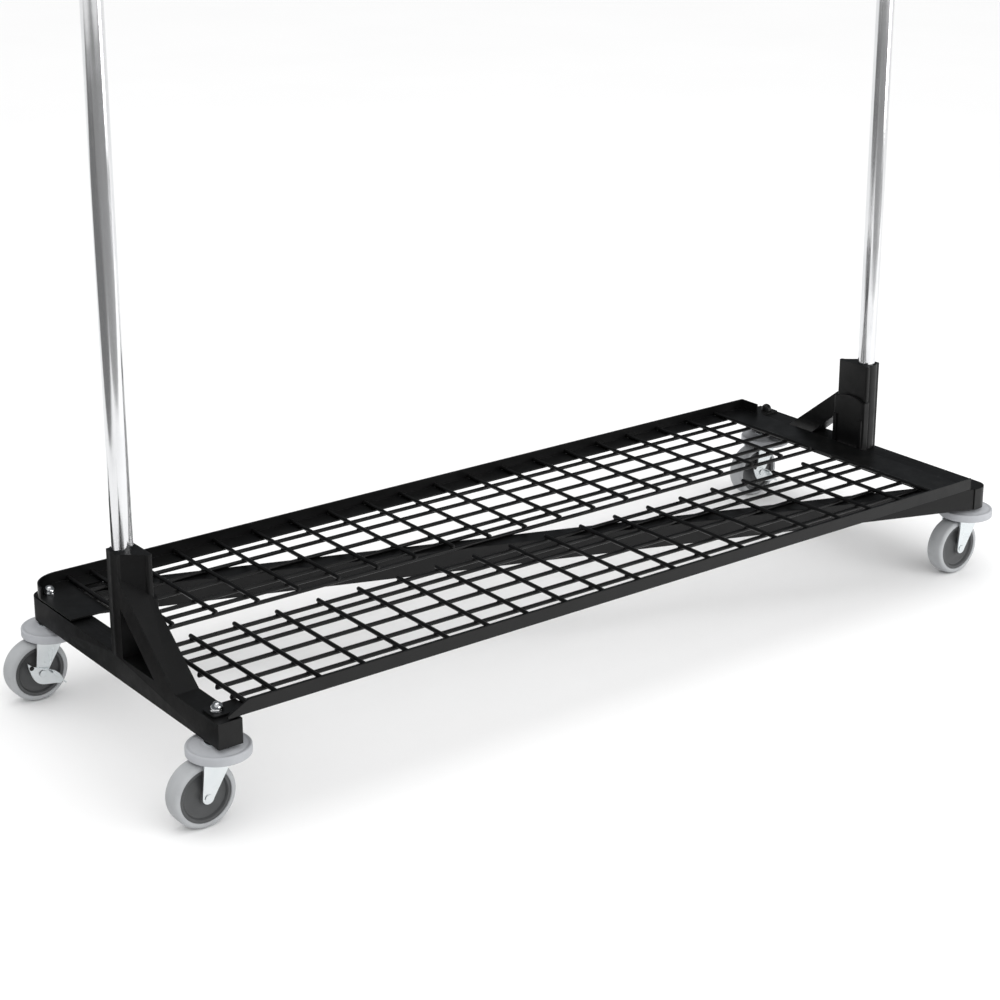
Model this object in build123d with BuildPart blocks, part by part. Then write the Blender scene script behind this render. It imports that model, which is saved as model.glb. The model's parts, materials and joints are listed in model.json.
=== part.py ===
"""Rolling clothes rack: two cast end frames on castors, joined by a diagonal beam,
with a two-panel wire base shelf, chrome uprights and a hang rail.

Units are millimetres. X runs along the rack, Y to the rear and Z up. The origin is on
the floor, midway between the two uprights.
"""
import math
import os

from build123d import *

# ---------------------------------------------------------------- driving dimensions
RACK_PITCH = 1524.0  # upright to upright, 60 in
STEM_PITCH = 508.0  # castor stem to castor stem on one end frame, 20 in
TUBE_D = 31.75  # uprights and hang rail, 1 1/4 in
TUBE_WALL = 1.6
RAIL_Z = 1700.0  # centre of the hang rail

BEAM_LENGTH = 578.0
BEAM_SIZE = 38.0  # square section of end beams and diagonal
BEAM_BOTTOM = 122.0
BEAM_TOP = BEAM_BOTTOM + BEAM_SIZE
CAST_WALL = 6.0
POST_TOP = 320.0
POST_FRONT = -20.0
POST_REAR = 14.0
PAD_DEPTH = 75.0  # width along Y of the wide pad on the post's inner side
PAD_Y = -11.5
PAD_T = 10.0
PAD_STEP_Z = 252.0
RIB_W = 8.0
RIB_H = 58.0
RIB_PROUD = 2.5
BRACE_TOP = 280.0  # where the brace leaves the post
BRACE_REACH = -172.0  # where the brace meets the beam
BRACE_OPEN_TOP = 238.0  # the triangular opening under the brace
BRACE_OPEN_REACH = -112.0
CORNER_R = 25.0  # rounded outer corner at one end of each beam
DIAGONAL_SLOPE = 19.75  # degrees from the X axis
DIAGONAL_WALL = 2.5
SOCKET_FLOOR = 178.0
BOLT_R = 5.0
BOLT_HEAD_R = 8.5
BOLT_HEAD_H = 6.0

SHELF_HALF_DEPTH = 289.0
SHELF_LEFT = -782.0
SHELF_RIGHT = 730.0
FRONT_RAIL_LEFT = -765.0
MITRE = 40.0  # the front ledge is cut back at its left end
SHELF_CORNER_R = 48.0
ANGLE_TOP = 184.0  # top edge of the shelf's angle iron
LEG_END_Y = 245.0  # where the upright leg ends, just round the rear right corner
TAPER = 35.0  # length of the front leg's sloping left end
ANGLE_T = 3.0
WIRE_D = 6.8
LONG_WIRE_Z = 163.5  # centre of the long wires
WELD_SINK = 0.3  # how far welded wires sink into each other
CROSS_WIRE_Z = LONG_WIRE_Z + WIRE_D - WELD_SINK  # cross wires lie on the long wires
LEDGE_TOP = CROSS_WIRE_Z - WIRE_D / 2
LEDGE_BOTTOM = LEDGE_TOP - ANGLE_T
LEDGE_INNER_Y = 251.0
RIGHT_LEDGE_X = 662.0
LEFT_PLATE_X = -718.0
LEFT_PLATE_Y = 140.0  # the left end plate fills only the rear corner
LONG_WIRE_Y = (31.0, 62.0, 93.0, 142.0, 192.0, 232.0)
CROSS_PITCH = 73.75
CROSS_SHIFT = -9.8
CROSS_HALF_COUNT = 9
FRONT_WIRE_LEFT = -728.0
CROSS_INNER_Y = 25.0

WHEEL_R = 49.0
WHEEL_W = 32.0
HUB_R = 40.0
TRAIL = 31.0  # the axle's offset from the swivel axis
AXLE_R = 4.0
FORK_T = 3.0
FORK_GAP = WHEEL_W + 6.0  # between the inner faces of the legs
BUMPER_R = 46.5
BUMPER_BOTTOM = 100.0
BUMPER_RIM_TOP = 113.5
BUMPER_TOP = 117.5
WASHER_R = 20.0  # the disc between bumper and beam
WASHER_T = 2.0
STEM_R = 5.5
STEM_OVER = 11.0  # the stem's length above the beam
BLIND_TOP = 152.0  # the front right stem ends inside the beam
BALL_R = 2.0
BALL_RING_R = 12.0
BALL_COUNT = 14
BUSH_R = 6.0
FIT = 0.05  # radial clearance of a running pin
SLACK = 0.5  # gap between moving neighbours that don't touch

UPRIGHT_X = RACK_PITCH / 2
STEM_Y = STEM_PITCH / 2
os.makedirs("parts", exist_ok=True)


def save(part, label):
    """Labels a finished piece and writes it as one STEP file."""
    part.label = label
    export_step(part, f"parts/{label}.step")


# ---------------------------------------------------------------- end frames
inner_x = -UPRIGHT_X + BEAM_SIZE / 2
outer_x = -UPRIGHT_X - BEAM_SIZE / 2

with BuildPart() as left_frame:
    # beam along Y, with one rounded outer corner
    with BuildSketch(Plane.XY.offset(BEAM_BOTTOM)):
        with Locations((-UPRIGHT_X, 0)):
            Rectangle(BEAM_SIZE, BEAM_LENGTH)
    extrude(amount=BEAM_SIZE)
    fillet(left_frame.edges().filter_by(Axis.Z).group_by(Axis.Y)[-1].sort_by(Axis.X)[0], CORNER_R)
    # triangular brace towards the front, with an opening through it
    with BuildSketch(Plane.YZ.offset(outer_x)):
        with BuildLine():
            Polyline(
                (POST_FRONT + 4, BEAM_TOP - 2),
                (POST_FRONT + 4, BRACE_TOP),
                (POST_FRONT, BRACE_TOP),
                (BRACE_REACH, BEAM_TOP),
                (BRACE_REACH, BEAM_TOP - 2),
                close=True,
            )
        make_face()
        with BuildLine():
            Polyline(
                (POST_FRONT, BEAM_TOP),
                (POST_FRONT, BRACE_OPEN_TOP),
                (BRACE_OPEN_REACH, BEAM_TOP),
                close=True,
            )
        make_face(mode=Mode.SUBTRACT)
    extrude(amount=BEAM_SIZE)
    # post: narrow outside, round about the tube, wide pad inside
    with BuildSketch(Plane.XY.offset(BEAM_TOP - 2)):
        with Locations((-UPRIGHT_X, (POST_FRONT + POST_REAR) / 2)):
            Rectangle(BEAM_SIZE, POST_REAR - POST_FRONT)
        with Locations((-UPRIGHT_X, 0)):
            Circle(TUBE_D / 2 + 4)
    extrude(amount=POST_TOP - BEAM_TOP + 2)
    with BuildSketch(Plane.XY.offset(BEAM_BOTTOM + 28)):
        with Locations((inner_x + PAD_T / 2 - 3, PAD_Y)):
            RectangleRounded(PAD_T + 6, PAD_DEPTH, 4)
    extrude(amount=PAD_STEP_Z - BEAM_BOTTOM - 28)
    with BuildSketch(Plane.YZ.offset(inner_x)):
        with BuildLine():
            base = Line((PAD_Y - 33, PAD_STEP_Z - 1), (PAD_Y + 33, PAD_STEP_Z - 1))
            ThreePointArc(base @ 0, (PAD_Y, PAD_STEP_Z + 8), base @ 1)
        make_face()
    extrude(amount=PAD_T)
    with BuildSketch(Plane.XY.offset(PAD_STEP_Z - 2)):
        with Locations((inner_x - 1, PAD_Y)):
            RectangleRounded(PAD_T, PAD_DEPTH - 4, 4)
    extrude(amount=POST_TOP - PAD_STEP_Z + 2)
    # web that runs from the post's outer corner to the pad's front edge, above the brace
    with BuildSketch(Plane.XY.offset(BRACE_OPEN_TOP)):
        with BuildLine():
            Polyline(
                (outer_x + 3, POST_FRONT + 1),
                (inner_x - 4, PAD_Y - PAD_DEPTH / 2 + 5),
                (inner_x, PAD_Y - PAD_DEPTH / 2 + 5),
                (inner_x, POST_FRONT + 1),
                close=True,
            )
        make_face()
    extrude(amount=POST_TOP - BRACE_OPEN_TOP)
    # two ribs down the pad
    with BuildSketch(Plane.XY.offset(BEAM_TOP)):
        with Locations((inner_x + PAD_T, PAD_Y - 31), (inner_x + PAD_T, PAD_Y + 31)):
            Rectangle(2 * RIB_PROUD, RIB_W)
    extrude(amount=RIB_H)
    # hollow underside, solid round the stems and under the post
    with BuildSketch(Plane.XY.offset(BEAM_BOTTOM)):
        with Locations((-UPRIGHT_X, -STEM_Y / 2), (-UPRIGHT_X, STEM_Y / 2)):
            Rectangle(BEAM_SIZE - 2 * CAST_WALL, STEM_Y - 70)
    extrude(amount=BEAM_SIZE - CAST_WALL, mode=Mode.SUBTRACT)
    # socket for the upright, bolt hole below it, stem holes
    with Locations((-UPRIGHT_X, 0, POST_TOP)):
        CounterBoreHole(BOLT_R + 0.5, TUBE_D / 2 + FIT, POST_TOP - SOCKET_FLOOR, POST_TOP - BEAM_BOTTOM)
    with Locations((-UPRIGHT_X, -STEM_Y, BEAM_TOP), (-UPRIGHT_X, STEM_Y, BEAM_TOP)):
        Hole(STEM_R, BEAM_SIZE)
save(left_frame.part, "end_frame_left")

with BuildPart() as right_frame:
    add(left_frame.part, rotation=(0, 0, 180))
    # the front right stem hole doesn't come through the top
    with BuildSketch(Plane.XY.offset(BLIND_TOP)):
        with Locations((UPRIGHT_X, -STEM_Y)):
            Circle(STEM_R + 0.5)
    extrude(amount=BEAM_TOP - BLIND_TOP)
save(right_frame.part, "end_frame_right")

# ---------------------------------------------------------------- diagonal beam
with BuildPart() as diagonal:
    with BuildSketch(Plane.XY.offset(BEAM_BOTTOM)):
        with Locations(Rotation(0, 0, -DIAGONAL_SLOPE)):
            Rectangle(2 * RACK_PITCH, BEAM_SIZE)
    extrude(amount=BEAM_SIZE)
    with BuildSketch(Plane.XY.offset(BEAM_BOTTOM + DIAGONAL_WALL)):
        with Locations(Rotation(0, 0, -DIAGONAL_SLOPE)):
            Rectangle(2 * RACK_PITCH, BEAM_SIZE - 2 * DIAGONAL_WALL)
    extrude(amount=BEAM_SIZE - 2 * DIAGONAL_WALL, mode=Mode.SUBTRACT)
    with BuildSketch(Plane.XY.offset(BEAM_BOTTOM)):
        Rectangle(-2 * inner_x, BEAM_LENGTH)
    extrude(amount=BEAM_SIZE, mode=Mode.INTERSECT)
save(diagonal.part, "diagonal_beam")

# ---------------------------------------------------------------- uprights and hang rail
with BuildPart() as upright:
    with BuildSketch(Plane.XY.offset(SOCKET_FLOOR)):
        with Locations((-UPRIGHT_X, 0)):
            Circle(TUBE_D / 2)
            Circle(TUBE_D / 2 - TUBE_WALL, mode=Mode.SUBTRACT)
    extrude(amount=RAIL_Z - TUBE_D / 2 - SOCKET_FLOOR - 4)
save(upright.part, "upright_left")
with BuildPart() as right_upright:
    add(upright.part, rotation=(0, 0, 180))
save(right_upright.part, "upright_right")

with BuildPart() as plugs:
    with BuildSketch(Plane.XY.offset(SOCKET_FLOOR)):
        with Locations((-UPRIGHT_X, 0), (UPRIGHT_X, 0)):
            Circle(TUBE_D / 2 - TUBE_WALL)
            Circle(BOLT_R, mode=Mode.SUBTRACT)
    extrude(amount=24)
save(plugs.part, "upright_plugs")

with BuildPart() as base_bolts:
    with BuildSketch(Plane.XY.offset(BEAM_BOTTOM - BOLT_HEAD_H)):
        with Locations((-UPRIGHT_X, 0), (UPRIGHT_X, 0)):
            RegularPolygon(BOLT_HEAD_R, 6)
    extrude(amount=BOLT_HEAD_H)
    with BuildSketch(Plane.XY.offset(BEAM_BOTTOM)):
        with Locations((-UPRIGHT_X, 0), (UPRIGHT_X, 0)):
            Circle(BOLT_R)
    extrude(amount=SOCKET_FLOOR + 24 - BEAM_BOTTOM)
save(base_bolts.part, "upright_bolts")

ELBOW_R = TUBE_D / 2 + 4
with BuildPart() as fitting:
    # a collar down over the upright and a cup inwards for the rail
    with BuildSketch(Plane.XY.offset(RAIL_Z - 58)):
        with Locations((-UPRIGHT_X, 0)):
            Circle(ELBOW_R)
    extrude(amount=58)
    with BuildSketch(Plane.YZ.offset(-UPRIGHT_X)):
        with Locations((0, RAIL_Z)):
            Circle(ELBOW_R)
    extrude(amount=48)
    with Locations((-UPRIGHT_X, 0, RAIL_Z)):
        Sphere(ELBOW_R)
    with Locations((-UPRIGHT_X, 0, RAIL_Z - 58)):
        with Locations(Rotation(180, 0, 0)):
            Hole(TUBE_D / 2 + FIT, 58 - TUBE_D / 2 - 4)
    with BuildSketch(Plane.YZ.offset(-UPRIGHT_X + TUBE_D / 2)):
        with Locations((0, RAIL_Z)):
            Circle(TUBE_D / 2 + FIT)
    extrude(amount=48, mode=Mode.SUBTRACT)
    # screw holes at the back of each socket
    with BuildSketch(Plane.XZ):
        with Locations((-UPRIGHT_X, RAIL_Z - 40), (-UPRIGHT_X + 34, RAIL_Z)):
            Circle(3)
    extrude(amount=-ELBOW_R - 2, mode=Mode.SUBTRACT)
save(fitting.part, "rail_elbow_left")
with BuildPart() as right_fitting:
    add(mirror(fitting.part, about=Plane.YZ))
save(right_fitting.part, "rail_elbow_right")

with BuildPart() as hang_rail:
    with BuildSketch(Plane.YZ.offset(-UPRIGHT_X + TUBE_D / 2)):
        with Locations((0, RAIL_Z)):
            Circle(TUBE_D / 2)
            Circle(TUBE_D / 2 - TUBE_WALL, mode=Mode.SUBTRACT)
    extrude(amount=RACK_PITCH - TUBE_D)
save(hang_rail.part, "hang_rail")

with BuildPart() as rail_screws:
    for x, z in ((UPRIGHT_X, RAIL_Z - 40), (UPRIGHT_X - 34, RAIL_Z)):
        for side in (-1, 1):
            with BuildSketch(Plane.XZ.offset(-TUBE_D / 2)):
                with Locations((side * x, z)):
                    Circle(3)
                    RegularPolygon(1.7, 6, mode=Mode.SUBTRACT)
            extrude(amount=-4.8)
save(rail_screws.part, "rail_set_screws")

# ---------------------------------------------------------------- shelf frame
REST_X = 692.0  # the shelf's pad on the diagonal
REST_Y = -REST_X * math.tan(math.radians(DIAGONAL_SLOPE))
with BuildPart() as shelf_frame:
    ledge_height = Plane.XY.offset(LEDGE_BOTTOM)
    # outline of the whole frame, rounded at the rear left
    with BuildSketch(ledge_height) as outline:
        with BuildLine():
            Polyline(
                (FRONT_RAIL_LEFT, -SHELF_HALF_DEPTH),
                (SHELF_RIGHT, -SHELF_HALF_DEPTH),
                (SHELF_RIGHT, SHELF_HALF_DEPTH),
                (SHELF_LEFT, SHELF_HALF_DEPTH),
                (SHELF_LEFT, LEFT_PLATE_Y),
                (FRONT_RAIL_LEFT, LEFT_PLATE_Y),
                close=True,
            )
        make_face()
        fillet(outline.vertices().group_by(Axis.Y)[-1].sort_by(Axis.X)[0], SHELF_CORNER_R)
    extrude(amount=ANGLE_TOP - LEDGE_BOTTOM)
    # hollow above the ledge, leaving the angle's upright leg at the front and rear
    with BuildSketch(Plane.XY.offset(LEDGE_TOP)):
        with BuildLine():
            Polyline(
                (FRONT_RAIL_LEFT - 60, -SHELF_HALF_DEPTH + ANGLE_T),
                (SHELF_RIGHT + 1, -SHELF_HALF_DEPTH + ANGLE_T),
                (SHELF_RIGHT + 1, LEG_END_Y),
                (SHELF_RIGHT - ANGLE_T, LEG_END_Y),
                (SHELF_RIGHT - ANGLE_T, SHELF_HALF_DEPTH - ANGLE_T),
                (SHELF_LEFT + SHELF_CORNER_R, SHELF_HALF_DEPTH - ANGLE_T),
                (SHELF_LEFT + SHELF_CORNER_R, LEFT_PLATE_Y - 10),
                (FRONT_RAIL_LEFT - 60, LEFT_PLATE_Y - 10),
                close=True,
            )
        make_face()
        with Locations((SHELF_LEFT + SHELF_CORNER_R, SHELF_HALF_DEPTH - SHELF_CORNER_R)):
            Circle(SHELF_CORNER_R - ANGLE_T)
        with Locations((SHELF_LEFT - 1, SHELF_HALF_DEPTH - SHELF_CORNER_R)):
            Rectangle(60, 120, align=(Align.MIN, Align.MAX))
    extrude(amount=ANGLE_TOP - LEDGE_TOP, mode=Mode.SUBTRACT)
    # open middle, leaving the ledges
    with BuildSketch(ledge_height):
        with BuildLine():
            Polyline(
                (FRONT_RAIL_LEFT, -SHELF_HALF_DEPTH + ANGLE_T),
                (FRONT_RAIL_LEFT + MITRE, -LEDGE_INNER_Y),
                (RIGHT_LEDGE_X, -LEDGE_INNER_Y),
                (RIGHT_LEDGE_X, LEDGE_INNER_Y),
                (LEFT_PLATE_X, LEDGE_INNER_Y),
                (LEFT_PLATE_X, LEFT_PLATE_Y),
                (FRONT_RAIL_LEFT, LEFT_PLATE_Y),
                close=True,
            )
        make_face()
    extrude(amount=ANGLE_T, mode=Mode.SUBTRACT)
    # sloping left end of the front leg
    with BuildSketch(Plane.XZ.offset(SHELF_HALF_DEPTH - 10)):
        with BuildLine():
            Polyline(
                (FRONT_RAIL_LEFT - 1, LEDGE_TOP),
                (FRONT_RAIL_LEFT - 1, ANGLE_TOP + 1),
                (FRONT_RAIL_LEFT + TAPER, ANGLE_TOP + 1),
                close=True,
            )
        make_face()
    extrude(amount=11, mode=Mode.SUBTRACT)
    # three feet that the castor stems pass through, and a pad on the diagonal at the front right
    with BuildSketch(Plane.XY.offset(BEAM_TOP)):
        for foot_x, foot_y in ((-UPRIGHT_X, -STEM_Y), (-UPRIGHT_X, STEM_Y), (UPRIGHT_X, STEM_Y)):
            inwards = 12 if foot_x < 0 else -12
            with Locations((foot_x + inwards, foot_y)):
                RectangleRounded(54, 34, 4)
            with Locations((foot_x, foot_y)):
                Circle(STEM_R + 0.5, mode=Mode.SUBTRACT)
        with Locations((REST_X, REST_Y)):
            RectangleRounded(30, 20, 3)
    extrude(amount=LEDGE_BOTTOM - BEAM_TOP)
    with Locations((-UPRIGHT_X, STEM_Y, LEDGE_TOP)):
        Hole(STEM_R + 0.5, LEDGE_TOP - BEAM_TOP)
save(shelf_frame.part, "shelf_frame")


# ---------------------------------------------------------------- wire panels
cross_x = [CROSS_SHIFT + CROSS_PITCH * k for k in range(-CROSS_HALF_COUNT, CROSS_HALF_COUNT + 1)]


def panel(side, left_end):
    """One wire panel: six long wires with the cross wires welded on top of them."""
    outer_y = SHELF_HALF_DEPTH - ANGLE_T
    with BuildPart() as wires:
        with BuildSketch(Plane.YZ.offset(left_end)):
            with Locations([(side * y, LONG_WIRE_Z) for y in LONG_WIRE_Y]):
                Circle(WIRE_D / 2)
        extrude(amount=RIGHT_LEDGE_X - left_end)
        with BuildSketch(Plane.XZ.offset(-side * outer_y)):
            with Locations([(x, CROSS_WIRE_Z) for x in [left_end + WIRE_D / 2 + 1, *cross_x]]):
                Circle(WIRE_D / 2)
        extrude(amount=side * (outer_y - CROSS_INNER_Y))
    return wires.part


save(panel(1, LEFT_PLATE_X), "shelf_panel_rear")
save(panel(-1, FRONT_WIRE_LEFT), "shelf_panel_front")

# ---------------------------------------------------------------- one castor
# A castor is drawn with its swivel axis on the Z axis and the wheel trailing to -X.
LEG_Y = FORK_GAP / 2
LEG_OUT = LEG_Y + FORK_T
CROWN_BOTTOM = BUMPER_BOTTOM - SLACK
CROWN_TOP = CROWN_BOTTOM + FORK_T
RACE_BOTTOM = CROWN_TOP + 2 * BALL_R + SLACK
PIVOT_R = 4.5
COLLAR_R = 10.0
RACE_R = 17.0
RACE_T = 2.5
LEVER_T = 2.5
LEVER_Y = LEG_OUT + SLACK  # inner face of the brake lever, on the -Y side
HEAD_H = 1.4  # the peened heads of the axle pin
HEAD_R = 5.6
PAWL_X = -17.5  # the pawl stud's place, measured from the axle
PAWL_Z = 13.0
NUT_R = 10.0
NUT_H = 12.5

def make_stem(top):
    """Rivet head, pivot, upper race, collar, washer and a threaded stem up to a height."""
    with BuildPart() as stem:
        with BuildSketch(Plane.XZ):
            with BuildLine():
                Polyline(
                    (0, CROWN_BOTTOM - 4.2),
                    (6.5, CROWN_BOTTOM - 4.2),
                    (6.5, CROWN_BOTTOM - 1.0),
                    (PIVOT_R, CROWN_BOTTOM - 1.0),
                    (PIVOT_R, CROWN_TOP + 1.0),
                    (8.0, CROWN_TOP + 1.0),
                    (8.0, RACE_BOTTOM),
                    (RACE_R, RACE_BOTTOM),
                    (RACE_R, RACE_BOTTOM + RACE_T),
                    (COLLAR_R, RACE_BOTTOM + RACE_T),
                    (COLLAR_R, BUMPER_TOP),
                    (WASHER_R, BUMPER_TOP),
                    (WASHER_R, BUMPER_TOP + WASHER_T),
                    (COLLAR_R, BUMPER_TOP + WASHER_T),
                    (COLLAR_R, BEAM_BOTTOM),
                    (STEM_R, BEAM_BOTTOM),
                    (STEM_R, top),
                    (0, top),
                    close=True,
                )
            make_face()
        revolve(axis=Axis.Z)
    return stem.part


with BuildPart() as bumper:
    # a thick rubber cup that hides the crown and meets walls first
    with BuildSketch(Plane.XZ):
        with BuildLine():
            Polyline(
                (COLLAR_R, RACE_BOTTOM + RACE_T),
                (30, RACE_BOTTOM + RACE_T),
                (41.8, RACE_BOTTOM),
                (42.4, BUMPER_BOTTOM),
                (BUMPER_R - 1.5, BUMPER_BOTTOM),
                (BUMPER_R, BUMPER_BOTTOM + 1.5),
                (BUMPER_R, BUMPER_RIM_TOP - 2),
                (BUMPER_R - 2, BUMPER_RIM_TOP),
            )
            ThreePointArc((BUMPER_R - 2, BUMPER_RIM_TOP), (29, BUMPER_TOP - 1.3), (21, BUMPER_TOP))
            Polyline((21, BUMPER_TOP), (COLLAR_R, BUMPER_TOP), (COLLAR_R, RACE_BOTTOM + RACE_T))
        make_face()
    revolve(axis=Axis.Z)

with BuildPart() as balls:
    with Locations((0, 0, RACE_BOTTOM - BALL_R)):
        with PolarLocations(BALL_RING_R, BALL_COUNT):
            Sphere(BALL_R)

with BuildPart() as fork:
    # crown plate
    with BuildSketch(Plane.XY.offset(CROWN_BOTTOM)):
        with Locations((-11.5, 0)):
            RectangleRounded(47, 2 * LEG_OUT, 3)
        Circle(LEG_OUT)
        Circle(PIVOT_R + FIT, mode=Mode.SUBTRACT)
    extrude(amount=FORK_T)
    # two tapering legs with a round end at the axle
    with BuildSketch(Plane.XZ.offset(-LEG_OUT)):
        with BuildLine():
            Polyline(
                (-TRAIL - 9, WHEEL_R),
                (-35, CROWN_TOP),
                (12, CROWN_TOP),
                (9, CROWN_BOTTOM - 2),
                (-TRAIL + 8.2, WHEEL_R - 3),
                close=True,
            )
        make_face()
        with Locations((-TRAIL, WHEEL_R)):
            Circle(9)
            Circle(AXLE_R, mode=Mode.SUBTRACT)
    extrude(amount=FORK_T)
    mirror(about=Plane.XZ)

with BuildPart() as bushing:
    with BuildSketch(Plane.XZ.offset(-LEG_Y)):
        with Locations((-TRAIL, WHEEL_R)):
            Circle(BUSH_R)
            Circle(AXLE_R, mode=Mode.SUBTRACT)
    extrude(amount=FORK_GAP)


def make_axle(near):
    """Axle pin, peened over a low round head at -near and outside the far leg."""
    with BuildPart() as axle:
        with BuildSketch(Plane.XZ.offset(-LEG_OUT - HEAD_H)):
            with Locations((-TRAIL, WHEEL_R)):
                Circle(AXLE_R)
        extrude(amount=near + LEG_OUT + 2 * HEAD_H)
        for base, height in ((near, HEAD_H), (-LEG_OUT, -HEAD_H)):
            with BuildSketch(Plane.XZ.offset(base)):
                with Locations((-TRAIL, WHEEL_R)):
                    Circle(HEAD_R)
            extrude(amount=height)
        fillet(axle.edges().filter_by(GeomType.CIRCLE).group_by(Axis.Y)[0], HEAD_H / 2)
        fillet(axle.edges().filter_by(GeomType.CIRCLE).group_by(Axis.Y)[-1], HEAD_H / 2)
    return axle.part


WHEEL_AXIS = Axis((-TRAIL, 0, WHEEL_R), (0, 1, 0))
with BuildPart() as hub:
    # dished plastic hub with a raised boss; r is measured from the axle
    with BuildSketch(Plane.YZ.offset(-TRAIL)):
        with BuildLine():
            Polyline(
                (-LEG_Y + 1, WHEEL_R + BUSH_R + FIT),
                (-LEG_Y + 1, WHEEL_R + 11),
                (-12.5, WHEEL_R + 14),
                (-9.0, WHEEL_R + 30),
                (-13.0, WHEEL_R + 34),
                (-14.5, WHEEL_R + 35.5),
                (-14.5, WHEEL_R + HUB_R),
                (14.5, WHEEL_R + HUB_R),
                (14.5, WHEEL_R + 35.5),
                (13.0, WHEEL_R + 34),
                (9.0, WHEEL_R + 30),
                (12.5, WHEEL_R + 14),
                (LEG_Y - 1, WHEEL_R + 11),
                (LEG_Y - 1, WHEEL_R + BUSH_R + FIT),
                close=True,
            )
        make_face()
    revolve(axis=WHEEL_AXIS)

with BuildPart() as tread:
    with BuildSketch(Plane.YZ.offset(-TRAIL)):
        with Locations((0, WHEEL_R + (HUB_R + WHEEL_R) / 2)):
            rim = Rectangle(WHEEL_W, WHEEL_R - HUB_R)
        fillet(rim.vertices().group_by(Axis.Y)[-1], 5.5)
    revolve(axis=WHEEL_AXIS)

with BuildPart() as lever:
    # stamped crescent plate on the axle with an outward pedal
    with BuildSketch(Plane.XZ.offset(LEVER_Y)):
        with BuildLine():
            Spline(
                (-TRAIL - 24, WHEEL_R + 23),
                (-TRAIL - 11, WHEEL_R + 13),
                (-TRAIL + 12, WHEEL_R + 4),
                (-TRAIL + 34, WHEEL_R - 20),
            )
            Polyline((-TRAIL + 34, WHEEL_R - 20), (-TRAIL + 29, WHEEL_R - 24))
            Spline(
                (-TRAIL + 29, WHEEL_R - 24),
                (-TRAIL + 10, WHEEL_R - 20),
                (-TRAIL - 7, WHEEL_R - 15),
                (-TRAIL - 19, WHEEL_R + 3),
                (-TRAIL - 24, WHEEL_R + 23),
            )
        make_face()
        with Locations((-TRAIL, WHEEL_R)):
            Circle(AXLE_R + FIT, mode=Mode.SUBTRACT)
        with Locations((-TRAIL + PAWL_X, WHEEL_R + PAWL_Z)):
            Circle(2.5, mode=Mode.SUBTRACT)
    extrude(amount=LEVER_T)
    with BuildSketch(Plane.XZ.offset(LEVER_Y)):
        with BuildLine():
            Polyline(
                (-TRAIL + 14, WHEEL_R + 2),
                (-TRAIL + 35, WHEEL_R - 20.5),
                (-TRAIL + 33, WHEEL_R - 22),
                (-TRAIL + 12, WHEEL_R + 0.5),
                close=True,
            )
        make_face()
    extrude(amount=LEVER_T + 9)

with BuildPart() as pawl:
    # stud riveted through the lever, standing in towards the hub
    with BuildSketch(Plane.XZ.offset(LEG_Y - 3)):
        with Locations((-TRAIL + PAWL_X, WHEEL_R + PAWL_Z)):
            Circle(2.5)
    extrude(amount=LEVER_Y + LEVER_T - LEG_Y + 3)
    with BuildSketch(Plane.XZ.offset(LEVER_Y + LEVER_T)):
        with Locations((-TRAIL + PAWL_X, WHEEL_R + PAWL_Z)):
            Circle(3.5)
    extrude(amount=1)

with BuildPart() as nut:
    # domed cap nut on the stem, drawn from z = 0
    with BuildSketch():
        Circle(NUT_R)
    extrude(amount=NUT_H)
    fillet(nut.edges().group_by(Axis.Z)[-1], NUT_R - 2)
    with BuildSketch():
        Circle(STEM_R)
    extrude(amount=BEAM_TOP + STEM_OVER - LEDGE_BOTTOM + 0.5, mode=Mode.SUBTRACT)

# ---------------------------------------------------------------- four castors in place
CASTORS = {
    "front_left": (-UPRIGHT_X, -STEM_Y),
    "rear_left": (-UPRIGHT_X, STEM_Y),
    "front_right": (UPRIGHT_X, -STEM_Y),
    "rear_right": (UPRIGHT_X, STEM_Y),
}
BRAKED = ("rear_left", "rear_right")


def place(piece, spots, height=0.0):
    """Copies of one piece at several castor positions."""
    with BuildPart() as group:
        with Locations([(x, y, height) for x, y in spots]):
            add(piece)
    return group.part


for name, spot in CASTORS.items():
    braked = name in BRAKED
    pieces = {
        "castor_stem": make_stem(BLIND_TOP if name == "front_right" else BEAM_TOP + STEM_OVER),
        "bumper": bumper.part,
        "fork": fork.part,
        "axle_bushing": bushing.part,
        "axle_pin": make_axle(LEVER_Y + LEVER_T + SLACK if braked else LEG_OUT),
        "wheel_hub": hub.part,
        "wheel_tread": tread.part,
    }
    if braked:
        pieces["brake_lever"] = lever.part
        pieces["brake_pawl"] = pawl.part
    for kind, piece in pieces.items():
        save(place(piece, [spot]), f"{kind}_{name}")

save(place(balls.part, CASTORS.values()), "swivel_balls")
with BuildPart() as left_nuts:
    with Locations((-UPRIGHT_X, -STEM_Y, LEDGE_BOTTOM), (-UPRIGHT_X, STEM_Y, LEDGE_TOP)):
        add(nut.part)
save(left_nuts.part, "cap_nuts_left")
save(place(nut.part, [CASTORS["rear_right"]], LEDGE_BOTTOM), "cap_nut_right")
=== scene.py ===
"""Looks of the rolling clothes rack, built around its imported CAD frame.

Metres, X along the rack, Y to the rear, Z up, origin on the floor midway between the uprights.
"""

import json
import math

import bmesh
import bpy
from mathutils import Matrix, Vector


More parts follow.
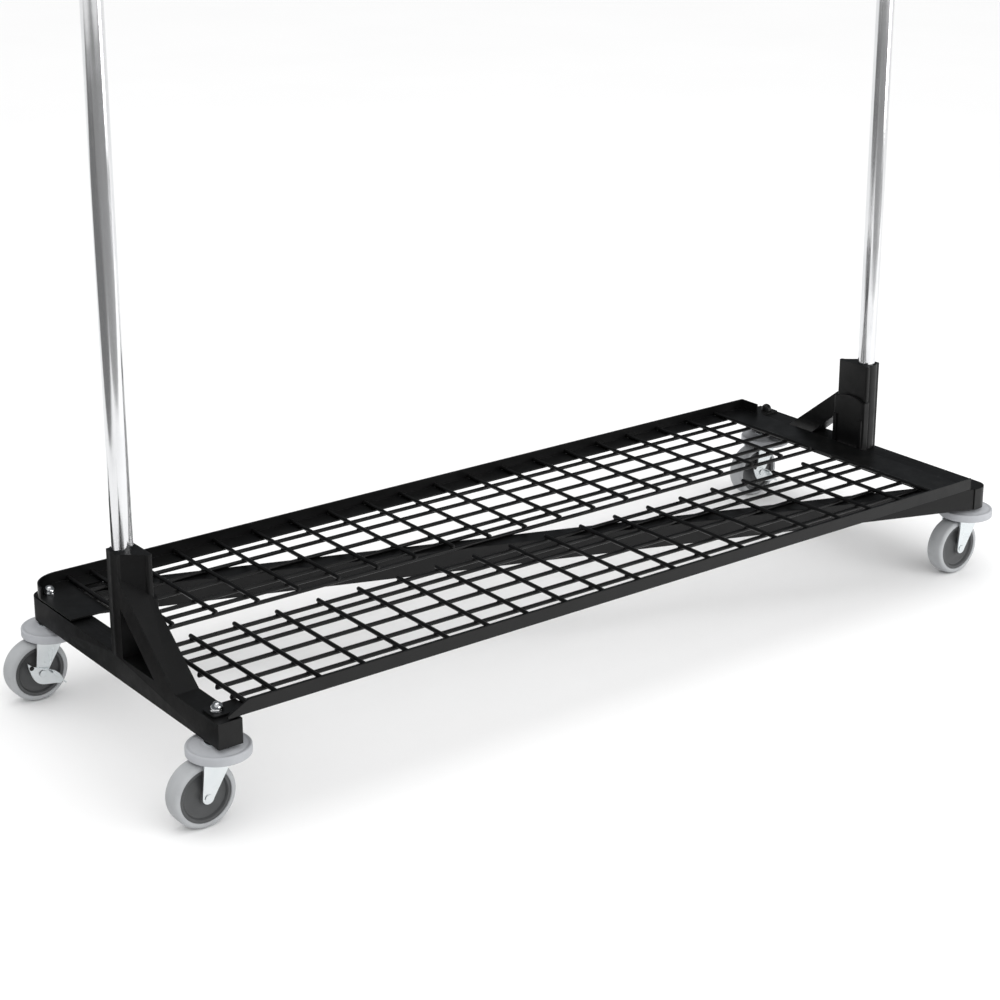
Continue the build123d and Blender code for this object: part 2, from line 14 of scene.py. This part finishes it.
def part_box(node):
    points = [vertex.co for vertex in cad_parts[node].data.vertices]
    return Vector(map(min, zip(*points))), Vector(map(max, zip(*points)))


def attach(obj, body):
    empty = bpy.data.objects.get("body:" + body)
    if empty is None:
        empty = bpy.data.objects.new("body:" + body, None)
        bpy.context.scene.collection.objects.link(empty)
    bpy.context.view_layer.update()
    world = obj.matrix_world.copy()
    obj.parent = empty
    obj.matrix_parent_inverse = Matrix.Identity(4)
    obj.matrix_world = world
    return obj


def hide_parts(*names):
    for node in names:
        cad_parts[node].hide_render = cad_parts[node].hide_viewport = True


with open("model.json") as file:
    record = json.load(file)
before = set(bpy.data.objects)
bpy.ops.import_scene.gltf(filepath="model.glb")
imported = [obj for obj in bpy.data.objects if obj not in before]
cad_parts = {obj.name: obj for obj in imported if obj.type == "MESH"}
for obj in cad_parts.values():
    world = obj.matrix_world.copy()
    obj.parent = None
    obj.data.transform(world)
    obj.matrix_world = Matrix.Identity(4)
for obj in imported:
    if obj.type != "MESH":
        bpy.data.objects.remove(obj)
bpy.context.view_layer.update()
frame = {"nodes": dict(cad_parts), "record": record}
MM = 0.001
CASTORS = ("front_left", "rear_left", "front_right", "rear_right")
BRAKED = ("rear_left", "rear_right")


# ---------------------------------------------------------------- materials
class Look:
    """One procedural material. Noise scales are features per metre, bump depths are metres."""

    def __init__(self, name, **constants):
        self.material = bpy.data.materials.new(name)
        self.material.use_nodes = True
        self.nodes = self.material.node_tree.nodes
        self.links = self.material.node_tree.links
        self.nodes.clear()
        output = self.nodes.new("ShaderNodeOutputMaterial")
        self.shader = self.nodes.new("ShaderNodeBsdfPrincipled")
        self.links.new(self.shader.outputs[0], output.inputs[0])
        self.coordinates = self.nodes.new("ShaderNodeTexCoord").outputs["Object"]
        self.normal = None
        for socket, value in constants.items():
            self.shader.inputs[socket.replace("_", " ")].default_value = value

    def noise(self, scale, detail=4.0, roughness=0.55, stretch=(1, 1, 1)):
        mapping = self.nodes.new("ShaderNodeMapping")
        mapping.inputs["Scale"].default_value = stretch
        self.links.new(self.coordinates, mapping.inputs["Vector"])
        texture = self.nodes.new("ShaderNodeTexNoise")
        texture.inputs["Scale"].default_value = scale
        texture.inputs["Detail"].default_value = detail
        texture.inputs["Roughness"].default_value = roughness
        self.links.new(mapping.outputs[0], texture.inputs["Vector"])
        return texture.outputs["Fac"]

    def cells(self, scale):
        texture = self.nodes.new("ShaderNodeTexVoronoi")
        texture.inputs["Scale"].default_value = scale
        self.links.new(self.coordinates, texture.inputs["Vector"])
        return texture.outputs["Distance"]

    def span(self, value, low, high, to_low, to_high):
        """Maps low..high to to_low..to_high, clamped."""
        node = self.nodes.new("ShaderNodeMapRange")
        self.links.new(value, node.inputs["Value"])
        sockets = ("From Min", "From Max", "To Min", "To Max")
        for socket, number in zip(sockets, (low, high, to_low, to_high)):
            node.inputs[socket].default_value = number
        return node.outputs["Result"]

    def math(self, operation, a, b):
        node = self.nodes.new("ShaderNodeMath")
        node.operation = operation
        for socket, value in zip(node.inputs, (a, b)):
            if isinstance(value, (int, float)):
                socket.default_value = value
            else:
                self.links.new(value, socket)
        return node.outputs[0]

    def blend(self, factor, a, b):
        """Colour a where factor is 0 and b where it is 1; either may be a colour or a socket."""
        node = self.nodes.new("ShaderNodeMix")
        node.data_type = "RGBA"
        self.links.new(factor, node.inputs["Factor"])
        for socket, value in ((node.inputs[6], a), (node.inputs[7], b)):
            if isinstance(value, tuple):
                socket.default_value = (*value, 1.0)
            else:
                self.links.new(value, socket)
        return node.outputs[2]

    def upward(self):
        """1 on faces that look up, 0 on the rest."""
        geometry = self.nodes.new("ShaderNodeNewGeometry")
        split = self.nodes.new("ShaderNodeSeparateXYZ")
        self.links.new(geometry.outputs["Normal"], split.inputs[0])
        return self.span(split.outputs["Z"], 0.6, 1.0, 0.0, 1.0)

    def colour(self, value):
        self.links.new(value, self.shader.inputs["Base Color"])

    def roughness(self, value):
        self.links.new(value, self.shader.inputs["Roughness"])

    def bump(self, height, depth):
        node = self.nodes.new("ShaderNodeBump")
        node.inputs["Strength"].default_value = 1.0
        node.inputs["Distance"].default_value = depth
        self.links.new(height, node.inputs["Height"])
        if self.normal is not None:
            self.links.new(self.normal, node.inputs["Normal"])
        self.normal = node.outputs[0]
        self.links.new(self.normal, self.shader.inputs["Normal"])


def powder_coat(name, pebble, depth, gloss):
    """Black powder coat: orange peel, patchy gloss, a little dust on top and thin rubbed marks."""
    look = Look(name, Specular_IOR_Level=0.3)
    patches = look.noise(9, 5)
    fine = look.noise(pebble, 3)
    rub = look.noise(60, 6, 0.7, (1, 1, 6))
    rubbed = look.math("MULTIPLY", look.span(rub, 0.62, 0.74, 0, 1), look.span(patches, 0.45, 0.6, 0, 1))
    dust = look.math("MULTIPLY", look.upward(), look.span(look.noise(28, 6), 0.5, 0.8, 0, 0.6))
    base = look.blend(look.span(patches, 0.3, 0.7, 0, 1), (0.0022, 0.0022, 0.0023), (0.0045, 0.0045, 0.0046))
    base = look.blend(dust, base, (0.012, 0.0117, 0.011))
    look.colour(look.blend(look.math("MULTIPLY", rubbed, 0.5), base, (0.014, 0.014, 0.0145)))
    shine = look.span(look.noise(34, 5), 0.3, 0.7, gloss - 0.07, gloss + 0.09)
    look.roughness(look.math("ADD", shine, look.math("MULTIPLY", rubbed, 0.1)))
    look.bump(fine, depth)
    look.bump(look.noise(pebble * 0.22, 2), depth * 1.6)
    return look.material


def chrome(name, stretch):
    """Polished chrome plate with faint drawing lines along the tube and hazy smudges."""
    look = Look(name, Metallic=1.0)
    lines = look.noise(240, 3, 0.5, stretch)
    haze = look.noise(11, 5)
    smudge = look.span(haze, 0.45, 0.72, 0, 1)
    look.colour(look.blend(smudge, (0.78, 0.785, 0.795), (0.72, 0.726, 0.74)))
    polish = look.span(lines, 0.3, 0.7, 0.08, 0.14)
    look.roughness(look.math("ADD", polish, look.math("MULTIPLY", smudge, 0.07)))
    look.bump(lines, 0.000006)
    look.bump(look.noise(18, 2), 0.00008)
    return look.material


def zinc(name):
    """Bright zinc plate on pressed steel: faint bluish patches, rolling grain and small scratches."""
    look = Look(name, Metallic=1.0)
    cloud = look.noise(24, 3)
    grain = look.noise(420, 4, 0.6, (1, 1, 0.12))
    scratch = look.span(look.noise(300, 2, 0.5, (0.1, 1, 1)), 0.7, 0.76, 0, 1)
    base = look.blend(look.span(cloud, 0.35, 0.65, 0, 1), (0.70, 0.74, 0.755), (0.76, 0.79, 0.80))
    look.colour(look.blend(look.math("MULTIPLY", scratch, 0.35), base, (0.56, 0.58, 0.6)))
    look.roughness(look.span(look.math("ADD", cloud, grain), 0.7, 1.3, 0.26, 0.34))
    look.bump(grain, 0.000012)
    look.bump(look.noise(22, 2), 0.00004)
    return look.material


def rubber(name, dark, light, grime):
    """Moulded grey rubber: bloom, fine moulding grain and scuffs."""
    look = Look(name, Specular_IOR_Level=0.35)
    bloom = look.noise(26, 5)
    specks = look.span(look.noise(520, 3), 0.62, 0.75, 0, 1)
    scuff = look.span(look.noise(75, 6, 0.7), 0.58, 0.75, 0, grime)
    base = look.blend(look.span(bloom, 0.3, 0.7, 0, 1), dark, light)
    base = look.blend(scuff, base, tuple(0.55 * c for c in dark))
    look.colour(look.blend(look.math("MULTIPLY", specks, 0.12), base, tuple(0.7 * c for c in dark)))
    look.roughness(look.span(bloom, 0.3, 0.7, 0.5, 0.66))
    look.bump(look.noise(900, 3), 0.00003)
    look.bump(look.noise(120, 3), 0.00008)
    return look.material


def moulded(name, dark, light, roughness):
    """Moulded plastic with a fine spark-eroded texture and flow marks."""
    look = Look(name, Specular_IOR_Level=0.45)
    flow = look.noise(38, 4, 0.5, (1, 0.4, 1))
    look.colour(look.blend(look.span(flow, 0.3, 0.7, 0, 1), dark, light))
    look.roughness(look.span(flow, 0.3, 0.7, roughness - 0.06, roughness + 0.08))
    look.bump(look.cells(1400), 0.00003)
    look.bump(flow, 0.00006)
    return look.material


CAST_BLACK = powder_coat("cast_black_coat", 520, 0.00010, 0.44)
TUBE_BLACK = powder_coat("smooth_black_coat", 900, 0.00004, 0.36)
WIRE_BLACK = powder_coat("wire_black_coat", 1300, 0.00003, 0.33)
CHROME_UPRIGHT = chrome("chrome_upright", (1, 1, 0.02))
CHROME_RAIL = chrome("chrome_rail", (0.02, 1, 1))
CHROME_NUT = chrome("chrome_nut", (1, 1, 1))
ZINC = zinc("bright_zinc")
TREAD = rubber("grey_tread_rubber", (0.345, 0.355, 0.365), (0.40, 0.41, 0.42), 0.3)
BUMPER = rubber("grey_bumper_rubber", (0.37, 0.38, 0.40), (0.42, 0.43, 0.45), 0.12)
HUB = moulded("dark_grey_hub", (0.05, 0.052, 0.053), (0.068, 0.07, 0.072), 0.42)
PLUG = moulded("black_plug", (0.01, 0.01, 0.01), (0.02, 0.02, 0.02), 0.5)


# ---------------------------------------------------------------- building helpers
def add_piece(name, builder, material, body, nodes, smooth_angle=35):
    """A new mesh piece from a bmesh, which stands for CAD nodes and rides on their body."""
    mesh = bpy.data.meshes.new(name)
    bmesh.ops.recalc_face_normals(builder, faces=builder.faces)
    builder.to_mesh(mesh)
    builder.free()
    mesh.materials.append(material)
    for face in mesh.polygons:
        face.use_smooth = True
    mesh.set_sharp_from_angle(angle=math.radians(smooth_angle))
    piece = bpy.data.objects.new(name, mesh)
    bpy.context.scene.collection.objects.link(piece)
    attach(piece, body)
    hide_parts(*nodes)
    return piece


def body_of(node):
    for body, nodes in frame["record"]["behaviour"]["bodies"].items():
        if node in nodes:
            return body
    raise KeyError(node)


def rounded(node, material, width, segments=2):
    """A copy of a CAD node with its hard edges rounded, in place of the node."""
    builder = bmesh.new()
    builder.from_mesh(frame["nodes"][node].data)
    bmesh.ops.remove_doubles(builder, verts=builder.verts, dist=0.01 * MM)
    bmesh.ops.dissolve_limit(
        builder, angle_limit=math.radians(0.6), verts=builder.verts, edges=builder.edges
    )
    piece = add_piece(f"{node}_rounded", builder, material, body_of(node), [node], 30)
    bevel = piece.modifiers.new("edges", "BEVEL")
    bevel.width = width
    bevel.segments = segments
    bevel.limit_method = "ANGLE"
    bevel.angle_limit = math.radians(32)
    bevel.harden_normals = True


def paint(node, material):
    """Gives a CAD node that keeps its shape a material."""
    mesh = frame["nodes"][node].data
    mesh.materials.clear()
    mesh.materials.append(material)
    for face in mesh.polygons:
        face.material_index = 0


def ring(builder, centre, across, up, radius, count):
    return [
        builder.verts.new(
            centre
            + radius * math.cos(2 * math.pi * k / count) * across
            + radius * math.sin(2 * math.pi * k / count) * up
        )
        for k in range(count)
    ]


def skin(builder, rings, closed_ends=True):
    """Joins a run of rings into a tube, with its two ends closed."""
    for low, high in zip(rings, rings[1:]):
        for k in range(len(low)):
            j = (k + 1) % len(low)
            builder.faces.new((low[k], low[j], high[j], high[k]))
    if closed_ends:
        builder.faces.new(list(reversed(rings[0])))
        builder.faces.new(rings[-1])


def lathe(builder, origin, axis, profile, count=96):
    """Turns (distance along axis, radius) points about an axis; the profile is a closed loop."""
    axis = Vector(axis).normalized()
    across = axis.orthogonal().normalized()
    up = axis.cross(across)
    rings = [ring(builder, origin + along * axis, across, up, radius, count) for along, radius in profile]
    skin(builder, rings + [rings[0]], closed_ends=False)


def rod(builder, start, end, radius, count=14):
    """A round wire from start to end with softly rounded, sheared ends."""
    direction = (end - start).normalized()
    across = direction.orthogonal().normalized()
    up = direction.cross(across)
    steps = [(0.0, 0.45), (0.12, 0.78), (0.4, 0.95), (0.8, 1.0)]
    rings = [ring(builder, start + s * radius * direction, across, up, r * radius, count) for s, r in steps]
    rings += [
        ring(builder, end - s * radius * direction, across, up, r * radius, count)
        for s, r in reversed(steps)
    ]
    skin(builder, rings)


def nugget(builder, centre, size):
    """A flattened weld bead."""
    scale = Matrix.Diagonal((*size, 1.0))
    bmesh.ops.create_icosphere(
        builder, subdivisions=2, radius=1.0, matrix=Matrix.Translation(centre) @ scale
    )


# ---------------------------------------------------------------- castings and steel sections
for node in ("end_frame_left", "end_frame_right"):
    rounded(node, CAST_BLACK, 2.4 * MM, 3)
for node in ("rail_elbow_left", "rail_elbow_right"):
    rounded(node, CAST_BLACK, 1.2 * MM)
rounded("diagonal_beam", TUBE_BLACK, 1.8 * MM, 3)
rounded("shelf_frame", TUBE_BLACK, 0.7 * MM)
for node in ("upright_left", "upright_right"):
    paint(node, CHROME_UPRIGHT)
paint("hang_rail", CHROME_RAIL)
paint("upright_plugs", PLUG)
paint("upright_bolts", ZINC)
paint("rail_set_screws", ZINC)
paint("swivel_balls", ZINC)


# ---------------------------------------------------------------- wire panels
def wire_centres(node, end_axis, end_value, sort_axis):
    """Where wires end on the plane end_axis = end_value: their centres along sort_axis, and the height."""
    vertices = frame["nodes"][node].data.vertices
    points = [v.co for v in vertices if abs(v.co[end_axis] - end_value) < 0.05 * MM]
    values = sorted(p[sort_axis] for p in points)
    height = (min(p.z for p in points) + max(p.z for p in points)) / 2
    groups = [[values[0]]]
    for value in values[1:]:
        if value - groups[-1][-1] > 3 * MM:
            groups.append([])
        groups[-1].append(value)
    return [(g[0] + g[-1]) / 2 for g in groups], height


def wire_panel(node, inner_side):
    """Long wires with cross wires on top, and weld beads at the crossings and on the ledge."""
    low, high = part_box(node)
    inner_y, outer_y = (low.y, high.y) if inner_side == "low" else (high.y, low.y)
    long_ys, long_z = wire_centres(node, 0, low.x, 1)
    cross_xs, cross_z = wire_centres(node, 1, inner_y, 0)
    radius = high.z - cross_z
    crossing_bead = (1.25 * radius, 1.25 * radius, 0.42 * radius)
    ledge_bead = (1.5 * radius, 4.2 * MM, 0.4 * radius)
    ledge_bead_inset = 5 * MM
    builder = bmesh.new()
    for y in long_ys:
        rod(builder, Vector((low.x, y, long_z)), Vector((high.x, y, long_z)), radius)
    for x in cross_xs:
        rod(builder, Vector((x, inner_y, cross_z)), Vector((x, outer_y, cross_z)), radius)
        end_y = outer_y - math.copysign(ledge_bead_inset, outer_y)
        nugget(builder, Vector((x, end_y, cross_z - 0.75 * radius)), ledge_bead)
        for y in long_ys:
            nugget(builder, Vector((x, y, (long_z + cross_z) / 2)), crossing_bead)
    add_piece(f"{node}_wires", builder, WIRE_BLACK, body_of(node), [node], 50)


wire_panel("shelf_panel_rear", "low")
wire_panel("shelf_panel_front", "high")


# ---------------------------------------------------------------- castors
# distance along the axle and radius, in mm, from the hub's boss out to its rim
HUB_WEB = (
    (-14.0, 11.2), (-12.0, 13.5), (-10.8, 19), (-10.0, 26), (-9.8, 31), (-10.6, 33.2),
    (-13.4, 34.6), (-14.4, 35.4), (-14.6, 36.4), (-14.6, 39.4), (-14.0, 40.0),
)


def castor_wheel(name):
    """Tread and hub turned as one moulding each, with rounded shoulders and a dished web."""
    tread = f"wheel_tread_{name}"
    hub = f"wheel_hub_{name}"
    low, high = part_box(tread)
    centre = (low + high) / 2
    outer = (high.z - low.z) / 2
    half = (high.y - low.y) / 2
    inner = outer - 9 * MM
    shoulder = 5.5 * MM
    builder = bmesh.new()
    profile = [(-half + 0.8 * MM, inner), (-half, inner + 0.8 * MM), (-half, outer - 6.5 * MM)]
    for k in range(1, 9):
        turn = math.radians(90 * k / 9)
        along = -half + shoulder * (1 - math.cos(turn))
        profile.append((along, outer - 6.2 * MM + shoulder * math.sin(turn)))
    profile += [(-half * 0.55, outer - 0.25 * MM), (-0.5 * MM, outer - 0.02 * MM), (0.0, outer)]
    profile += [(-along, radius) for along, radius in reversed(profile[:-1])]
    lathe(builder, centre, (0, 1, 0), profile, 128)
    add_piece(f"{tread}_moulded", builder, TREAD, f"wheel_{name}", [tread])

    low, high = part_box(hub)
    face = (high.y - low.y) / 2
    builder = bmesh.new()
    profile = [(-face, 6.1 * MM), (-face, 9.4 * MM), (-face + 0.7 * MM, 10.4 * MM)]
    profile += [(along * MM, radius * MM) for along, radius in HUB_WEB]
    profile += [(-along, radius) for along, radius in reversed(profile)]
    lathe(builder, centre, (0, 1, 0), profile, 96)
    add_piece(f"{hub}_moulded", builder, HUB, f"wheel_{name}", [hub])


def bumper_cup(name):
    """Rubber bumper cup: rolled rim, shallow groove and a domed top under the washer."""
    node = f"bumper_{name}"
    low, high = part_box(node)
    centre = Vector(((low.x + high.x) / 2, (low.y + high.y) / 2, low.z))
    rim = (high.x - low.x) / 2
    top = high.z - low.z
    bore = 10.05 * MM
    lip = 1.8 * MM
    roll = 2.6 * MM
    shoulder = 13.5 * MM
    builder = bmesh.new()
    profile = [(8.6 * MM, bore), (8.6 * MM, 30 * MM), (6.8 * MM, 41.2 * MM), (0.8 * MM, 42.4 * MM)]
    profile += [(0.1 * MM, 43.0 * MM), (0.0, 44.0 * MM)]
    for k in range(7):
        turn = math.radians(15 * k)
        profile.append((lip * (1 - math.cos(turn)) + 0.05 * MM, rim - lip * (1 - math.sin(turn))))
    for k in range(7):
        turn = math.radians(15 * k)
        profile.append((shoulder - roll * (1 - math.sin(turn)), rim - roll * (1 - math.cos(turn))))
    profile += [(shoulder - 0.3 * MM, rim - 4.4 * MM), (shoulder - 0.6 * MM, rim - 5.6 * MM)]
    for k in range(8):
        share = k / 8
        rise = (top - 0.4 * MM - shoulder) * math.sin(share * math.pi / 2)
        profile.append((shoulder + rise, rim - 7.2 * MM - share * (rim - 29.2 * MM)))
    profile += [(top - 0.4 * MM, 21.8 * MM), (top, 21.0 * MM), (top, bore)]
    lathe(builder, centre, (0, 0, 1), profile, 128)
    add_piece(f"{node}_moulded", builder, BUMPER, "frame", [node], 50)


for castor in CASTORS:
    castor_wheel(castor)
    bumper_cup(castor)
    rounded(f"fork_{castor}", ZINC, 0.7 * MM)
    paint(f"castor_stem_{castor}", ZINC)
    paint(f"axle_pin_{castor}", ZINC)
    paint(f"axle_bushing_{castor}", ZINC)
for castor in BRAKED:
    rounded(f"brake_lever_{castor}", ZINC, 0.5 * MM)
    # Painted shade: the brake pawls get the black coat so that they read as the shadowed opening in the
    # brake spring, not as bright steel.
    paint(f"brake_pawl_{castor}", TUBE_BLACK)


def cap_nuts(node, material):
    """Domed cap nuts with a low brim: the node holds one nut, or two at its ends along Y."""
    low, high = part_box(node)
    radius = 10 * MM
    height = 12.5 * MM
    bore = 5.6 * MM
    brim = 2.2 * MM
    builder = bmesh.new()
    points = [v.co for v in frame["nodes"][node].data.vertices]
    first, last = low.y + radius, high.y - radius
    for y in ([first] if last - first < radius else [first, last]):
        near = [p for p in points if abs(p.y - y) < 1.2 * radius]
        base = min(p.z for p in near)
        centre = Vector(((low.x + high.x) / 2, y, base))
        profile = [(0.0, bore), (0.0, radius - 0.2 * MM)]
        profile += [(0.5 * MM, radius), (1.4 * MM, radius - 0.1 * MM)]
        for k in range(12):
            turn = math.radians(90 * k / 12)
            along = brim + (height - brim) * math.sin(turn)
            profile.append((along, (radius - 0.5 * MM) * math.cos(turn)))
        profile += [(height, 0.3 * MM), (height - 1.0 * MM, 0.3 * MM), (height - brim, bore)]
        lathe(builder, centre, (0, 0, 1), profile, 64)
    add_piece(f"{node}_domed", builder, material, "frame", [node], 40)


cap_nuts("cap_nuts_left", CHROME_NUT)
cap_nuts("cap_nut_right", TUBE_BLACK)


# ---------------------------------------------------------------- studio
def floor():
    """A wide pale floor, a touch uneven in tone."""
    look = Look("studio_floor", Roughness=0.75, Specular_IOR_Level=0.2)
    look.colour(look.blend(look.noise(1.2, 3), (0.88, 0.88, 0.88), (0.91, 0.91, 0.91)))
    builder = bmesh.new()
    bmesh.ops.create_circle(builder, cap_ends=True, segments=96, radius=30)
    mesh = bpy.data.meshes.new("studio_floor")
    builder.to_mesh(mesh)
    builder.free()
    mesh.materials.append(look.material)
    plane = bpy.data.objects.new("studio_floor", mesh)
    plane.location.z = -0.2 * MM
    bpy.context.scene.collection.objects.link(plane)


def flag(name, low, high, tone):
    """A grey card lying on the floor outside the view, there only to be reflected."""
    look = Look(f"{name}_felt", Roughness=0.9, Specular_IOR_Level=0.1)
    look.colour(look.blend(look.noise(4, 3), (tone, tone, tone), (1.15 * tone, 1.15 * tone, 1.15 * tone)))
    builder = bmesh.new()
    bmesh.ops.create_grid(builder, x_segments=4, y_segments=4, size=0.5)
    mesh = bpy.data.meshes.new(name)
    builder.to_mesh(mesh)
    builder.free()
    mesh.materials.append(look.material)
    card = bpy.data.objects.new(name, mesh)
    card.location = ((low[0] + high[0]) / 2, (low[1] + high[1]) / 2, 1 * MM)
    card.scale = (high[0] - low[0], high[1] - low[1], 1)
    for rays in ("camera", "diffuse", "shadow", "transmission", "volume_scatter"):
        setattr(card, f"visible_{rays}", False)
    bpy.context.scene.collection.objects.link(card)


def softbox(name, place, target, width, height, power):
    light = bpy.data.lights.new(name, "AREA")
    light.shape = "RECTANGLE"
    light.size, light.size_y, light.energy = width, height, power
    lamp = bpy.data.objects.new(name, light)
    lamp.location = place
    lamp.rotation_euler = (Vector(target) - Vector(place)).to_track_quat("-Z", "Y").to_euler()
    bpy.context.scene.collection.objects.link(lamp)


SKY_SEEN = 1.0  # strength for the camera and for diffuse light
SKY_REFLECTED = 0.14  # strength in reflections


def sky():
    """Even white light for the camera and for diffuse light, dimmer in reflections."""
    world = bpy.data.worlds.new("studio")
    world.use_nodes = True
    nodes, links = world.node_tree.nodes, world.node_tree.links
    nodes.clear()
    path = nodes.new("ShaderNodeLightPath")
    mix = nodes.new("ShaderNodeMixShader")
    output = nodes.new("ShaderNodeOutputWorld")
    bright = nodes.new("ShaderNodeBackground")
    bright.inputs[0].default_value = (1, 1, 1, 1)
    bright.inputs[1].default_value = SKY_SEEN
    dim = nodes.new("ShaderNodeBackground")
    dim.inputs[0].default_value = (0.9, 0.95, 1, 1)
    dim.inputs[1].default_value = SKY_REFLECTED
    links.new(path.outputs["Is Glossy Ray"], mix.inputs[0])
    links.new(bright.outputs[0], mix.inputs[1])
    links.new(dim.outputs[0], mix.inputs[2])
    links.new(mix.outputs[0], output.inputs[0])
    bpy.context.scene.world = world


def camera():
    """Eye level at the front left, looking down on the base."""
    data = bpy.data.cameras.new("camera")
    data.lens = 78.1
    data.sensor_width = 36
    data.shift_y = -0.1
    eye = bpy.data.objects.new("camera", data)
    eye.location = (-2.086, -2.623, 1.460)
    eye.rotation_euler = (math.radians(90 - 17.63), 0, math.radians(-37.36))
    bpy.context.scene.collection.objects.link(eye)
    bpy.context.scene.camera = eye


def sun(name, direction, strength):
    """A very wide soft sun, which lights the floor evenly."""
    light = bpy.data.lights.new(name, "SUN")
    light.angle = math.radians(70)
    light.energy = strength
    lamp = bpy.data.objects.new(name, light)
    lamp.rotation_euler = Vector(direction).to_track_quat("-Z", "Y").to_euler()
    bpy.context.scene.collection.objects.link(lamp)


floor()
flag("front_flag", (-8.0, -7.5), (3.0, -1.7), 0.24)
flag("left_far_flag", (-8.0, -1.7), (-2.2, 4.0), 0.16)
flag("left_flag", (-1.5, -0.9), (-0.86, 1.1), 0.03)
softbox("key", (0.6, -3.6, 2.0), (0, 0, 0.2), 2.6, 1.4, 26)
softbox("front_right", (2.2, -2.6, 0.7), (0.2, 0, 0.15), 1.6, 0.9, 22)
softbox("top", (0, 0.3, 3.8), (0, 0, 0), 3.4, 2.0, 20)
sun("overhead", (0.25, 0.35, -1.0), 0.5)
sky()
camera()
bpy.context.scene.view_settings.view_transform = "Standard"
